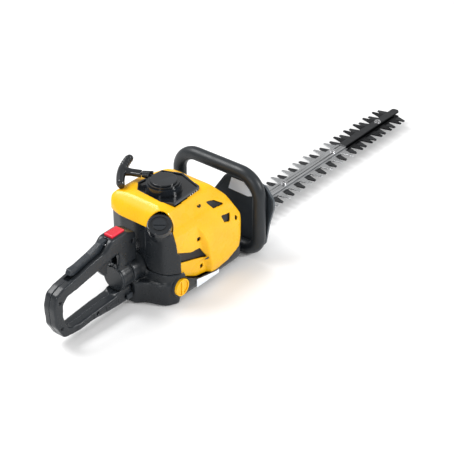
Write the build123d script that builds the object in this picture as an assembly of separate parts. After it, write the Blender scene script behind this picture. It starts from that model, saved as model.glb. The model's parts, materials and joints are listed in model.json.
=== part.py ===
from build123d import *
import os
from math import pi

# Petrol hedge trimmer with a 60 cm double-sided blade.
# Millimetres. +X runs along the blade, +Y to the left, +Z up.
# The origin is on the underside of the skid plate, below the crankshaft axis.

# ---- driving dimensions -------------------------------------------------
PITCH = 35.0                 # tooth pitch of each cutter
TOOTH_COUNT = 15             # teeth on each edge of each cutter
FIRST_TOOTH_X = 210.5        # first tooth tip of the upper cutter
TOOTH_HALF_SPAN = 37.5       # tooth tip to the blade's centre line
ROOT_HALF_WIDTH = 13.0       # cutter strip between the teeth
STROKE = PITCH / 2           # travel of each cutter
ECCENTRICITY = STROKE / 2
BAR_TIP_X = 740.0
CUTTER_THICK = 2.5
LOWER_CUTTER_Z = 20.5
UPPER_CUTTER_Z = LOWER_CUTTER_Z + CUTTER_THICK
BAR_Z = UPPER_CUTTER_Z + CUTTER_THICK
BAR_THICK = 3.0
BAR_HALF_WIDTH = 8.5
BAR_ROOT_X = 86.0
TIP_COVER_X = 540.0          # the black cover runs from here to the tip
BLADE_BOLT_X = [346.0, 507.5, 668.5]
ROOT_BOLT_X = [95.0, 111.0]

GEAR_MODULE = 1.25
PINION_TEETH = 12
GEAR_TEETH = 54
PINION_R = GEAR_MODULE * PINION_TEETH / 2
GEAR_R = GEAR_MODULE * GEAR_TEETH / 2
GEAR_X = PINION_R + GEAR_R   # drive gear axis, in front of the crankshaft
ECCENTRIC_R = 14.0
GAP = 0.3                    # clearance between touching casings
RUNNING = 0.05               # radial clearance of a shaft in its bore
WALL = 3.0

HOUSING_REAR_X = -86.0
SWIVEL_X = -106.0            # plane where the rear handle's drum meets the housing's boss
PIVOT_Z = 62.0               # height of the rear handle's swivel axis
DRUM_R = 24.0
GRIP_HALF = 14.0
BLOCK_HALF = 16.0
STUB_R = 9.0

LOOP_X = 147.0               # plane of the front handle
LOOP_TUBE_R = 12.5
LOOP_LEFT = 91.0
LOOP_RIGHT = -94.0
LOOP_TOP = 164.0
LOOP_CORNER = 42.0

DECK_Z = 62.0                # top of the lower housing
RIM_Z = 148.0                # underside of the top cover
TOP_Z = 180.0                # flat top, under the recoil starter
BORE_R = 16.0
CRANK_R = 13.0
WEB_R = 22.0                 # crank webs, clear of the piston at the bottom of its stroke
CYLINDER_Z = 92.0            # height of the piston's axis

PULLEY_R = 21.0
PULL = Vector(-0.49, 0.87, 0.07).normalized()        # the way the starter rope is pulled
GRIP_BAR = Vector(0.855, 0.463, 0.233).normalized()  # direction of the starter grip's bar
GRIP_MID = Vector(-21.5, 74, 195)
GRIP_LENGTH = 72.0
GUIDE_BACK = 52.0            # from the grip back to the rope guide's inner end
CAP_AXIS = Vector(-0.317, -0.256, 0.913).normalized()
CAP_SEAT = Vector(-66, -48, 148)
CAP_R = 21.5
KNOB_X, KNOB_Z, KNOB_R = -51.0, 35.0, 16.0

parts = {}


# ---- small building helpers ---------------------------------------------
def box(x0, x1, y0, y1, z0, z1):
    """Block between two corners."""
    return Pos((x0 + x1) / 2, (y0 + y1) / 2, (z0 + z1) / 2) * Box(x1 - x0, y1 - y0, z1 - z0)


def cyl_z(r, z0, z1, x=0.0, y=0.0):
    return Pos(x, y, (z0 + z1) / 2) * Cylinder(r, z1 - z0)


def cyl_x(r, x0, x1, y=0.0, z=0.0):
    return Pos((x0 + x1) / 2, y, z) * Rot(0, 90, 0) * Cylinder(r, x1 - x0)


def cyl_y(r, y0, y1, x=0.0, z=0.0):
    return Pos(x, (y0 + y1) / 2, z) * Rot(90, 0, 0) * Cylinder(r, y1 - y0)


def rod(start, direction, r, length):
    """Cylinder from a point along a direction."""
    return Plane(origin=start, z_dir=direction) * Pos(0, 0, length / 2) * Cylinder(r, length)


def outline(points, corner=0.0, grow=0.0):
    """Closed face through the points, with rounded corners, grown or shrunk."""
    if corner:
        edge = FilletPolyline(*points, radius=corner, close=True)
    else:
        edge = Polyline(*points, close=True)
    face = make_face(edge)
    if grow:
        face = offset(face, amount=grow, kind=Kind.INTERSECTION)
    return face


def slab_z(points, z0, z1, corner=0.0, grow=0.0):
    return extrude(Plane.XY.offset(z0) * outline(points, corner, grow), z1 - z0)


def slab_y(points, y0, y1, corner=0.0, grow=0.0):
    """Outline in X and Z, extruded along Y."""
    return extrude(Plane.XZ.offset(-y1) * outline(points, corner, grow), y1 - y0)


def slab_x(points, x0, x1, corner=0.0, grow=0.0):
    """Outline in Y and Z, extruded along X."""
    return extrude(Plane.YZ.offset(x0) * outline(points, corner, grow), x1 - x0)


def tube_path(points, radii, r):
    """Round rod along straight runs joined by arcs."""
    path = FilletPolyline(*points, radius=radii)
    start = path @ 0
    return sweep(Plane(origin=start, z_dir=path % 0) * Circle(r), path=path)


def screw(x, y, z_head, shank_r, head_r, head_h, length):
    """Screw with its head's underside at z_head and its shank pointing down."""
    head = cyl_z(head_r, z_head, z_head + head_h, x, y)
    drive = cyl_z(head_r * 0.45, z_head + head_h * 0.4, z_head + head_h + 1, x, y)
    return head - drive + cyl_z(shank_r, z_head - length, z_head, x, y)


# ---- body envelope -------------------------------------------------------
PLAN_LOW = [(-86, -30), (-74, -64), (-44, -82), (62, -82), (102, -76), (126, -56),
            (126, 56), (102, 76), (62, 84), (-40, 84), (-72, 64), (-86, 30)]
PLAN_UP = [(-79, -28), (-72, -66), (-58, -80), (60, -80), (104, -76), (122, -52),
           (122, 50), (102, 72), (60, 84), (-34, 84), (-62, 64), (-79, 28)]
FRONT_VIEW = [(-68, 0), (-82, 14), (-82, 64), (-80, 111), (-71, 148), (-52, 175), (-34, TOP_Z),
              (40, TOP_Z), (56, 176), (72, 160), (80, 136), (84, 104), (84, 14), (70, 0)]
SIDE_VIEW = [(-69, -4), (-86, 14), (-86, 58), (-79, 66), (-77, 148), (-62, 168), (-42, TOP_Z + 6),
             (48, TOP_Z + 6), (76, 170), (102, 146), (116, 112), (121, 84), (126, 50), (126, 8), (114, -4)]


def envelope(inset, z0, z1):
    """The casings' outer shape between two heights, shrunk by an inset."""
    plan = PLAN_LOW if z1 <= DECK_Z + 1 else PLAN_UP
    body = slab_z(plan, z0, z1, 12, -inset)
    body &= slab_x(FRONT_VIEW, -150, 150, 5, -inset)
    body &= slab_y(SIDE_VIEW, -150, 150, 5, -inset)
    return body


# outline of the yellow side cover, seen from the right
SIDE_COVER = [(-57, 153), (-55, 102), (-15, 84), (8, 82), (24, 56), (-46, 77), (-40, 48),
              (-4, 29), (42, 21), (74, 25.5), (104, 42), (115, 81), (111, 112), (89, 153)]
SIDE_CORNER = 3
# the panel behind the front block stands back from it
STEP_BACK = [(-70, 160), (-1, 160), (-1, 148), (18, 66), (29, 10), (-70, 10)]
STEP_DEPTH = 7.0
VENTS = [[(38, 156), (50, 140), (79, 137), (57, 152)],
         [(62, 122), (86, 118), (81, 103), (67, 108)],
         [(96, 110), (103, 102), (99, 97), (95, 101)]]


def side_cover_body(inset):
    inner = inset > 0
    body = envelope(inset, 10, RIM_Z - GAP) & slab_y(SIDE_COVER, -100, -44 + 12 * inner, SIDE_CORNER, -inset)
    step_y = -80 + STEP_DEPTH + inset
    return body - slab_y(STEP_BACK, -100, step_y, 0, inset)


def make_side_cover():
    cover = side_cover_body(0) - side_cover_body(WALL)
    for vent in VENTS:
        cover -= slab_y(vent, -100, -60, 1.5)
    for x, z in [(5, 101), (12, 42)]:
        cover -= box(x - 3.5, x + 3.5, -100, -60, z - 3.5, z + 3.5)
    for row in range(5):
        cover -= box(104, 105.5, -100, -60, 50 + row * 8, 55 + row * 8)
    cover -= rod(CAP_SEAT - CAP_AXIS * 30, CAP_AXIS, CAP_R + 2.5, 80)
    parts["side_cover"] = cover


STARTER_PLATE = [(-15, 47), (-36, 30), (-41, -29), (-29, -50), (42, -46), (58, 6), (44, 42)]
COVER_SCREWS = [(20, -61), (-58, 36), (84, 36)]


def make_top_cover():
    shell = envelope(0, RIM_Z, TOP_Z + 1) - envelope(WALL, RIM_Z - 5, TOP_Z + 1)
    cover = shell - slab_z(STARTER_PLATE, 150, 200, 4) - slab_y(VENTS[0], -100, -50, 1.5)
    cover -= rod(CAP_SEAT - CAP_AXIS * 30, CAP_AXIS, CAP_R + 2.5, 80)
    screws = []
    for x, y in COVER_SCREWS:
        cover += cyl_z(6.5, RIM_Z, TOP_Z, x, y) & envelope(0, RIM_Z, TOP_Z + 1)
        cover -= cyl_z(4.2, 156, 200, x, y) + cyl_z(2.0, 140, 160, x, y)
        screws.append(screw(x, y, 156, 2.0, 3.8, 2.4, 8))
    parts["top_cover"] = cover
    parts["cover_screws"] = Compound(screws)


def make_starter():
    """Recoil starter: plate, round cover, pulley, spring, rope, guide and grip."""
    plate = slab_z(STARTER_PLATE, TOP_Z - 4, TOP_Z, 4, -GAP)
    plate -= slab_z(STARTER_PLATE, TOP_Z - 2, TOP_Z + 1, 4, -3.5)
    plate += cyl_z(33, TOP_Z - 4, TOP_Z)
    plate += cyl_z(33, 150, TOP_Z - 4) - cyl_z(30, 140, TOP_Z - 4)
    plate += cyl_z(5.0, TOP_Z - 4, 192.5)
    parts["starter_plate"] = plate

    cap = cyl_z(31, TOP_Z, 191) + cyl_z(28, 191, 194) + cyl_z(23.5, 194, 197)
    cap = fillet(cap.edges().filter_by(GeomType.CIRCLE).group_by(Axis.Z)[-1], 1.2)
    cap -= cyl_z(26, TOP_Z - 1, 192.5)
    guide_start = GRIP_MID - PULL * GUIDE_BACK
    guide = Plane(origin=guide_start, z_dir=PULL) * Pos(0, 0, 9) * Cone(8, 6, 18)
    guide -= rod(guide_start - PULL, PULL, 2.5, 60)
    guide -= cyl_z(31 + GAP / 3, TOP_Z - 5, 200)
    cap -= rod(guide_start - PULL * 20, PULL, 3.2, 40)
    parts["starter_cap"] = cap
    parts["rope_guide"] = guide

    pulley = cyl_z(24, 183.5, 191.5) - (cyl_z(30, 185.5, 189.5) - cyl_z(17, 185.5, 189.5))
    pulley -= cyl_z(5.0 + RUNNING, 180, 195)
    parts["starter_pulley"] = pulley
    parts["rope_winding"] = cyl_z(PULLEY_R, 185.6, 189.4) - cyl_z(17.0, 185, 190)
    spring = cyl_z(25.5, 180.2, 183.2) - cyl_z(24, 178, 184)
    for turn in range(4):
        outer = 22.5 - turn * 4
        spring += cyl_z(outer, 180.2, 183.2) - cyl_z(outer - 1.5, 178, 184)
    spring += box(6.5, 25, -1, 1, 180.2, 183.2)
    parts["recoil_spring"] = spring - cyl_z(6.5, 178, 184)

    neck_start = GRIP_MID - PULL * 30
    bar = rod(GRIP_MID - GRIP_BAR * (GRIP_LENGTH / 2), GRIP_BAR, 8.5, GRIP_LENGTH)
    bar = fillet(bar.edges().filter_by(GeomType.CIRCLE), 4)
    neck = Plane(origin=neck_start, z_dir=PULL) * Pos(0, 0, 13) * Cone(5.0, 8.2, 26)
    grip = bar + neck
    for k in range(5):
        at = GRIP_MID + GRIP_BAR * (9 + 5 * k)
        groove = rod(at, GRIP_BAR, 12, 1.6) - rod(at - GRIP_BAR, GRIP_BAR, 7.5, 4)
        grip -= groove
    grip -= rod(neck_start - PULL, PULL, 2.3, 30)
    parts["starter_grip"] = grip
    parts["starter_rope"] = rod(guide_start + PULL * 2, PULL, 1.75, GUIDE_BACK - 6)


# ---- black casings --------------------------------------------------------
def make_lower_housing():
    shell = envelope(0, 3, DECK_Z) - envelope(5, -5, DECK_Z + 1)
    shell -= slab_y(SIDE_COVER, -100, -40, SIDE_CORNER, GAP)
    shell -= box(100, 140, -45, 45, 0, 44)                       # blade and gear case come out here
    shell -= cyl_y(KNOB_R + 1, -100, -60, KNOB_X, KNOB_Z)
    tail = cyl_x(DRUM_R, SWIVEL_X, HOUSING_REAR_X + 8, 0, PIVOT_Z)
    foot = [(-14, 12), (-19, 22), (-19, 48), (19, 48), (19, 22), (14, 12)]
    tail += slab_x(foot, SWIVEL_X, HOUSING_REAR_X + 8, 2)
    tail -= envelope(0, DECK_Z, RIM_Z)
    shell = (shell + tail) - cyl_x(STUB_R, -120, -60, 0, PIVOT_Z)
    parts["lower_housing"] = shell.solids().sort_by(SortBy.VOLUME)[-1]
    plate = slab_z(PLAN_LOW, 0, 3, 12, -16) - box(100, 130, -46, 46, -1, 5)
    for x in (-40, 30):
        for y in (-45, 45):
            plate -= cyl_z(2.2, -1, 4, x, y)
    parts["skid_plate"] = plate
    knob = cyl_y(KNOB_R, -84, -78, KNOB_X, KNOB_Z)
    knob -= cyl_y(KNOB_R - 2.5, -85, -82.5, KNOB_X, KNOB_Z)
    knob += box(KNOB_X - 2.5, KNOB_X + 2.5, -84, -82, KNOB_Z - 13.4, KNOB_Z + 13.4)
    knob += cyl_y(4, -79, -60, KNOB_X, KNOB_Z)
    parts["choke_knob"] = knob


TANK_X, TANK_Y = -52.0, -26.0


def make_tank_and_walls():
    """Fuel tank column and the black walls round the engine."""
    corner = box(-100, TANK_X, -100, TANK_Y, DECK_Z + GAP, RIM_Z - GAP)
    inner = box(-100, TANK_X - 2.5, -100, TANK_Y - 2.5, DECK_Z + 3, RIM_Z - 3)
    tank = envelope(0, DECK_Z + GAP, RIM_Z - GAP) & corner
    tank -= envelope(2.5, DECK_Z + 3, RIM_Z - 3) & inner
    neck = rod(CAP_SEAT - CAP_AXIS * 24, CAP_AXIS, 17, 24)
    tank += neck
    tank -= rod(CAP_SEAT - CAP_AXIS * 30, CAP_AXIS, 13, 60)
    tank -= slab_y(SIDE_COVER, -100, -40, SIDE_CORNER, GAP)
    tank -= rod(CAP_SEAT, CAP_AXIS, CAP_R + 0.5, 40)
    parts["fuel_tank"] = tank

    cap = rod(CAP_SEAT + CAP_AXIS * 0.3, CAP_AXIS, CAP_R, 13)
    cap = fillet(cap.edges().filter_by(GeomType.CIRCLE), 2)
    cap -= rod(CAP_SEAT + CAP_AXIS * 12.3, CAP_AXIS, 15.5, 4) - rod(CAP_SEAT, CAP_AXIS, 12, 40)
    cap += rod(CAP_SEAT - CAP_AXIS * 8, CAP_AXIS, 12.9, 10)
    across = CAP_AXIS.cross(Vector(0, 0, 1)).normalized()
    rib = Plane(origin=CAP_SEAT + CAP_AXIS * 13, x_dir=across, z_dir=CAP_AXIS) * Box(20, 4, 3)
    parts["fuel_cap"] = cap + rib

    shell = envelope(0, DECK_Z + GAP, RIM_Z - GAP) - envelope(WALL, DECK_Z, RIM_Z)
    rear = shell & box(-100, -30 - GAP, TANK_Y + GAP, 100, 50, 160)
    rear -= cyl_x(13 + GAP, -100, -60, 0, PIVOT_Z)
    ledge = envelope(WALL, RIM_Z - 4, RIM_Z - GAP) - envelope(WALL + 6, RIM_Z - 6, RIM_Z + 1)
    parts["rear_housing"] = rear + (ledge & box(-100, -30 - GAP, TANK_Y + GAP, 100, 50, 160))
    left = shell & box(-30, 58 - GAP, 40, 100, 50, 160)
    for k in range(6):
        left -= box(-14 + k * 10, -9 + k * 10, 60, 100, 76, 104)
    parts["filter_cover"] = left
    front = shell & box(58, 130, -100, 100, 50, 160)
    front -= slab_y(SIDE_COVER, -100, -40, SIDE_CORNER, GAP)
    front -= box(90, 130, -36, -8, 84, 100)
    for k in range(5):
        front -= box(90, 130, 4 + k * 9, 9 + k * 9, 76, 132)
    parts["front_shield"] = front
    shield = box(-50, 92, -65, -63.5, DECK_Z + GAP, 130)
    inside_cover = slab_y(SIDE_COVER, -101, -39, SIDE_CORNER, -WALL - GAP)
    shield -= slab_y(SIDE_COVER, -100, -40, SIDE_CORNER, GAP) - inside_cover
    parts["heat_shield"] = shield


# ---- engine ---------------------------------------------------------------
def make_engine():
    case = cyl_z(34, DECK_Z + 1, 122) - cyl_z(26, 70, 116)
    case -= cyl_z(11, 50, 130)
    case -= cyl_x(BORE_R + 6, 10, 60, 0, CYLINDER_Z)
    case += box(-34, -20, -12, 40, 74, 110) - cyl_z(26, 70, 116)
    case -= cyl_x(7, -50, -20, 26, CYLINDER_Z)
    parts["crankcase"] = case

    barrel = cyl_x(BORE_R + 5.5, 29, 88, 0, CYLINDER_Z)
    for k in range(8):
        x = 38 + 6 * k
        half = 30 if k > 1 else 26
        barrel += box(x, x + 2, -half, half, CYLINDER_Z - 28, CYLINDER_Z + 28)
    barrel -= cyl_x(BORE_R + RUNNING, 10, 82, 0, CYLINDER_Z)
    barrel -= cyl_z(34 + GAP, DECK_Z, 122)
    barrel -= cyl_y(7, -40, 0, 60, CYLINDER_Z)
    barrel -= cyl_x(3.5, 80, 95, 0, CYLINDER_Z)
    parts["cylinder"] = barrel

    crown = CRANK_R + 48 + 12
    pin_x = crown - 12
    piston = cyl_x(BORE_R, crown - 24, crown, 0, CYLINDER_Z)
    piston -= cyl_x(BORE_R - 3, crown - 30, crown - 4, 0, CYLINDER_Z)
    for k in range(2):
        groove = cyl_x(20, crown - 5 - 4 * k, crown - 3.5 - 4 * k, 0, CYLINDER_Z)
        piston -= groove - cyl_x(BORE_R - 1.2, crown - 10, crown, 0, CYLINDER_Z)
    for z0, z1 in ((-14, -4.5), (4.5, 14)):
        piston += cyl_z(6, CYLINDER_Z + z0, CYLINDER_Z + z1, pin_x)
    piston -= cyl_z(4, CYLINDER_Z - 20, CYLINDER_Z + 20, pin_x)
    piston &= cyl_x(BORE_R, crown - 24, crown, 0, CYLINDER_Z)
    wrist_pin = cyl_z(4, CYLINDER_Z - 14, CYLINDER_Z + 14, pin_x)
    parts["piston"] = Compound([piston, wrist_pin])
    link = cyl_z(8, CYLINDER_Z - 4, CYLINDER_Z + 4, CRANK_R)
    link += cyl_z(7, CYLINDER_Z - 4, CYLINDER_Z + 4, pin_x)
    link += box(CRANK_R, pin_x, -3.5, 3.5, CYLINDER_Z - 3, CYLINDER_Z + 3)
    link -= cyl_z(5.2, 80, 100, CRANK_R) + cyl_z(4, 80, 100, pin_x)
    parts["connecting_rod"] = link

    shaft = cyl_z(6, 46.5, CYLINDER_Z - 14) + cyl_z(6, CYLINDER_Z + 14, 172)
    for z in (CYLINDER_Z - 14, CYLINDER_Z + 6):
        web = cyl_z(WEB_R, z, z + 8) - box(6, 30, 12, 30, z - 1, z + 9) - box(6, 30, -30, -12, z - 1, z + 9)
        shaft += web
    shaft += cyl_z(5, CYLINDER_Z - 6, CYLINDER_Z - 4.4, CRANK_R)
    parts["crankshaft"] = shaft

    wheel = cyl_z(46, 125, 130) - cyl_z(6, 120, 140) + (cyl_z(12, 125, 142) - cyl_z(6, 120, 145))
    for k in range(14):
        vane = box(18, 45, -1.2, 1.2, 130, 141)
        wheel += vane.rotate(Axis.Z, 360 / 14 * k)
    wheel += cyl_z(10, 142, 147) - cyl_z(6, 140, 150)
    for side in (0, 180):
        wheel += box(8, 20, -3, 3, 143, 147).rotate(Axis.Z, side)
    parts["flywheel"] = wheel

    coil = box(-66, -50, -12, 14, 122, 144)
    for y in (-9, 6):
        coil += box(-54, -48, y, y + 5, 124, 141)
    parts["ignition_coil"] = coil
    plug = cyl_x(3.4, 82.5, 90, 0, CYLINDER_Z) + cyl_x(7, 88.2, 94, 0, CYLINDER_Z)
    plug += cyl_x(4.5, 94, 102, 0, CYLINDER_Z)
    boot = cyl_x(7.5, 95, 108, 0, CYLINDER_Z) - cyl_x(4.5, 94, 102, 0, CYLINDER_Z)
    parts["spark_plug"] = Compound([plug, boot])

    muffler = box(38, 94, -60, -34, 70, 118)
    muffler = fillet(muffler.edges(), 4)
    muffler -= fillet(box(40, 92, -58, -36, 72, 116).edges(), 3)
    muffler += cyl_y(7, -36, -30.5, 60, CYLINDER_Z) - cyl_y(5, -40, -28, 60, CYLINDER_Z)
    muffler -= cyl_x(4, 90, 96, -47, 92)
    parts["muffler"] = muffler

    carb = box(-50, -35, 12, 40, 78, 106) - cyl_x(6, -55, -30, 26, CYLINDER_Z)
    carb += cyl_z(5, 74, 78, -43, 26)
    parts["carburettor"] = carb
    route = [(-116, 0, PIVOT_Z), (-60, 0, PIVOT_Z), (-46, 18, PIVOT_Z), (-43, 26, PIVOT_Z + 6), (-43, 26, 74)]
    parts["throttle_cable"] = tube_path(route, [10, 5, 3], 1.5)
    pad = box(-28, 50, 66, 78, 70, 112)
    parts["air_filter"] = fillet(pad.edges().filter_by(Axis.Z), 5)


# ---- clutch, gears and blade -----------------------------------------------
def gear(teeth, module, z0, z1, bore):
    """Spur gear with straight-sided teeth on its pitch circle."""
    pitch_r = teeth * module / 2
    root = pitch_r - 1.25 * module
    tip = pitch_r + module
    body = cyl_z(root, z0, z1)
    half_root = 0.30 * pi * module
    half_tip = 0.13 * pi * module
    inner = root - 0.5
    profile = slab_z([(inner, -half_root), (tip, -half_tip), (tip, half_tip), (inner, half_root)], z0, z1)
    for k in range(teeth):
        body += profile.rotate(Axis.Z, 360 / teeth * k)
    return body - cyl_z(bore, z0 - 1, z1 + 1) if bore else body


def make_drive():
    drum = cyl_z(24, 43, 58) - cyl_z(22, 46, 60)
    pinion = gear(PINION_TEETH, GEAR_MODULE, 30, 37, 0).rotate(Axis.Z, 180 / PINION_TEETH)
    drum += cyl_z(7.0, 37, 44) + cyl_z(3.5, 28, 31)
    parts["clutch_drum"] = drum + pinion
    shoes = [cyl_z(11.7, 48, 56) - cyl_z(6, 47, 57)]
    for side in (0, 180):
        ring = cyl_z(21, 47, 57) - cyl_z(12, 46, 58)
        shoes.append((ring & box(-30, 30, 1.5, 30, 40, 60)).rotate(Axis.Z, side))
    parts["clutch_shoes"] = Compound(shoes)

    wheel = gear(GEAR_TEETH, GEAR_MODULE, 30.5, 36.5, 6.0).moved(Location((GEAR_X, 0, 0)))
    wheel -= (cyl_z(26, 30, 32) - cyl_z(12, 29, 33)).moved(Location((GEAR_X, 0, 0)))
    parts["drive_gear"] = wheel
    cams = cyl_z(ECCENTRIC_R, UPPER_CUTTER_Z + 0.1, BAR_Z - 0.2, GEAR_X + ECCENTRICITY)
    cams += cyl_z(ECCENTRIC_R, LOWER_CUTTER_Z + 0.1, UPPER_CUTTER_Z + 0.1, GEAR_X - ECCENTRICITY)
    cams += cyl_z(9, BAR_Z - 0.2, 30.5, GEAR_X)
    parts["eccentric_shaft"] = cams + cyl_z(6, 11, 42, GEAR_X)
    rings = []
    for x, z0, z1 in ((GEAR_X, 11, 17), (GEAR_X, 37.5, 42), (0, DECK_Z + 1, 70), (0, 116, 122)):
        rings.append(cyl_z(11, z0, z1, x) - cyl_z(6 + RUNNING, z0 - 1, z1 + 1, x))
    parts["ball_bearings"] = Compound(rings)

    case = box(-16, 118, -42, 42, 18.5, 42)
    case -= cyl_z(36.5, 29.5, 37.5, GEAR_X) + cyl_z(11, 29.5, 37.5)
    case -= box(-10, 122, -32, 32, 18, BAR_Z + 0.4)
    case -= cyl_z(20, 25, 30, GEAR_X)
    case -= box(BAR_ROOT_X, 122, -BAR_HALF_WIDTH, BAR_HALF_WIDTH, 25, BAR_Z + BAR_THICK)
    case -= cyl_z(11, 37, 43, GEAR_X)
    case -= cyl_z(9, 37, 43)
    case -= cyl_z(3.5 + RUNNING, 20, 32)
    for x in ROOT_BOLT_X:
        case -= cyl_z(3, 20, 50, x)
    parts["gear_case"] = case
    cover = box(-16, 118, -42, 42, 5, 18.5)
    cover -= cyl_z(11, 11, 20, GEAR_X)
    for x in ROOT_BOLT_X:
        cover -= cyl_z(3, 0, 20, x)
    parts["gear_cover"] = cover


def tooth(x, side, reach):
    """One blade tooth pointing to the left (side 1) or right (side -1)."""
    root_half, tip_half = 8.5, 2.2
    pts = [(x - root_half, 0), (x - root_half, ROOT_HALF_WIDTH), (x - tip_half, reach),
           (x + tip_half, reach), (x + root_half, ROOT_HALF_WIDTH), (x + root_half, 0)]
    return [(px, py * side) for px, py in pts]


def cutter(first_tip, z0, window, bolt_slot, reach):
    """Reciprocating strip with teeth on both edges, a drive window and bolt slots."""
    z1 = z0 + CUTTER_THICK
    start, end = window
    last_tip = first_tip + PITCH * (TOOTH_COUNT - 1)
    body = box(start - 6, end + 6, -30, 30, z0, z1)
    body += slab_z([(end, -30), (end + 24, -ROOT_HALF_WIDTH), (end + 24, ROOT_HALF_WIDTH), (end, 30)], z0, z1)
    body += box(end, last_tip + 12, -ROOT_HALF_WIDTH, ROOT_HALF_WIDTH, z0, z1)
    for k in range(TOOTH_COUNT):
        for side, stagger in ((-1, 0), (1, 4)):
            shape = tooth(first_tip + PITCH * k + stagger, side, reach)
            body += extrude(Plane.XY.offset(z0) * outline(shape), CUTTER_THICK)
    body -= box(start, end, -23.3, 23.3, z0 - 1, z1 + 1)
    for x in ROOT_BOLT_X + BLADE_BOLT_X:
        low, high = x + bolt_slot[0], x + bolt_slot[1]
        body -= box(low, high, -3.2, 3.2, z0 - 1, z1 + 1)
        body -= cyl_z(3.2, z0 - 1, z1 + 1, low) + cyl_z(3.2, z0 - 1, z1 + 1, high)
    return body


def make_blade():
    sweep_r = ECCENTRIC_R + ECCENTRICITY + 0.4
    upper_window = (GEAR_X - sweep_r, GEAR_X + sweep_r + STROKE)
    lower_window = (GEAR_X - sweep_r - STROKE, GEAR_X + sweep_r)
    parts["upper_cutter"] = cutter(FIRST_TOOTH_X, UPPER_CUTTER_Z, upper_window, (0, STROKE), TOOTH_HALF_SPAN)
    parts["lower_cutter"] = cutter(FIRST_TOOTH_X + STROKE, LOWER_CUTTER_Z, lower_window, (-STROKE, 0),
                                   TOOTH_HALF_SPAN - 3)
    bar = box(BAR_ROOT_X, BAR_TIP_X, -BAR_HALF_WIDTH, BAR_HALF_WIDTH, BAR_Z, BAR_Z + BAR_THICK)
    bar = chamfer(bar.edges().filter_by(Axis.Z).group_by(Axis.X)[-1], 4)
    for x in ROOT_BOLT_X + BLADE_BOLT_X:
        bar -= cyl_z(3, 20, 40, x)
    parts["guide_bar"] = bar
    top = BAR_Z + BAR_THICK
    cover = box(TIP_COVER_X, BAR_TIP_X - 0.5, -BAR_HALF_WIDTH, BAR_HALF_WIDTH, top, top + 1.6)
    cover = chamfer(cover.edges().filter_by(Axis.Z).group_by(Axis.X)[-1], 4)
    cover -= cyl_z(7.6, top - 1, top + 5, BLADE_BOLT_X[2])
    parts["tip_cover"] = cover
    bolts = []
    for x in BLADE_BOLT_X:
        bolts.append(cyl_z(7.2, top, top + 1.2, x) + cyl_z(5.2, top + 1.2, top + 4.2, x)
                     - cyl_z(2.4, top + 2, top + 5, x) + cyl_z(3, 15, top, x))
        hexagon = Plane.XY.offset(15) * Pos(x, 0) * RegularPolygon(6, 6)
        bolts.append(extrude(hexagon, LOWER_CUTTER_Z - 0.2 - 15) - cyl_z(3, 10, 25, x))
    for x in ROOT_BOLT_X:
        bolts.append(cyl_z(5, 42, 46, x) + cyl_z(3, 7, 42, x))
    parts["blade_bolts"] = Compound(bolts)


# ---- front handle and guard -------------------------------------------------
LOOP_END_Y = 44.0
GUARD = [(22, 34), (24, 92), (-6, 137), (-62, 152), (-98, 142), (-115, 122), (-116, 104), (-106, 66),
         (-99, 24), (-86, 8), (-50, 8), (-30, 34)]


def make_front_handle():
    route = [(LOOP_X, y, z) for y, z in (
        (-LOOP_END_Y, LOOP_TUBE_R), (LOOP_RIGHT, LOOP_TUBE_R), (LOOP_RIGHT, LOOP_TOP),
        (LOOP_LEFT, LOOP_TOP), (LOOP_LEFT, LOOP_TUBE_R), (LOOP_END_Y, LOOP_TUBE_R))]
    parts["front_handle"] = tube_path(route, [30, LOOP_CORNER, LOOP_CORNER, 30], LOOP_TUBE_R)
    bracket = box(127, 160, -LOOP_END_Y, LOOP_END_Y, 0.5, 18)
    bracket = fillet(bracket.edges().filter_by(Axis.Z), 5)
    parts["handle_bracket"] = bracket
    mounts = []
    for y in (-28, 28):
        mounts.append(cyl_x(7, 118.2, 126.8, y, 11.5))
    parts["rubber_mounts"] = Compound(mounts)
    guard = slab_x(GUARD, 160.5, 164.5, 14)
    rim = slab_x(GUARD, 159.8, 164.5, 14) - slab_x(GUARD, 150, 170, 14, -4)
    guard += rim
    parts["hand_guard"] = guard
    label = slab_x([(-20, 135), (-13, 110), (-58, 109), (-68, 113), (-61, 124), (-48, 135)], 159.9, 160.5)
    side_label = box(-12, 48, -82.6, -82.1, 14, 30) - slab_y(SIDE_COVER, -100, -40, SIDE_CORNER, GAP)
    parts["labels"] = Compound([label, side_label])


# ---- rear handle --------------------------------------------------------------
HANDLE_OUTER = [(-106.3, 15), (-150, 17), (-201, 21), (-240, 16), (-268, 20), (-284, 48), (-286, 84),
                (-279, 106), (-262, 113), (-226, 120), (-200, 127), (-166, 133), (-146, 150), (-112, 151),
                (-90, 140), (-90, 88), (-106.3, 82)]
HANDLE_OPENING = [(-256, 38), (-264, 60), (-262, 82), (-250, 88), (-226, 92), (-201, 98), (-176, 102),
                  (-122, 108), (-122, 88), (-131, 83), (-131, 37), (-180, 34), (-225, 30), (-246, 30)]
RAIL = [(-106.3, 15), (-150, 17), (-201, 21), (-236, 18), (-236, 28), (-180, 34), (-131, 37), (-106.3, 38)]
BLOCK = [(-90, 88), (-90, 140), (-112, 151), (-146, 150), (-164, 134), (-160, 104), (-122, 106), (-118, 88)]
TRIGGER_PIVOT = (-130.0, 119.0)
LEVER_PIVOT = (-156.0, 143.5)
TRIGGER = [(-124, 124), (-134, 126), (-176, 112), (-178, 101), (-168, 94), (-152, 80), (-146, 90),
           (-128, 106)]
LEVER = [(-149, 151), (-151, 139), (-185, 128), (-230, 121), (-240, 125), (-236, 133), (-222, 134),
         (-190, 141), (-164, 149)]
LEVER_POCKET = [(-146, 170), (-147, 136), (-185, 118), (-230, 111.5), (-244, 115), (-244, 170)]
SWITCH_X = (-141.0, -112.0)
SWITCH_HALF = 9.0


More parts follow.
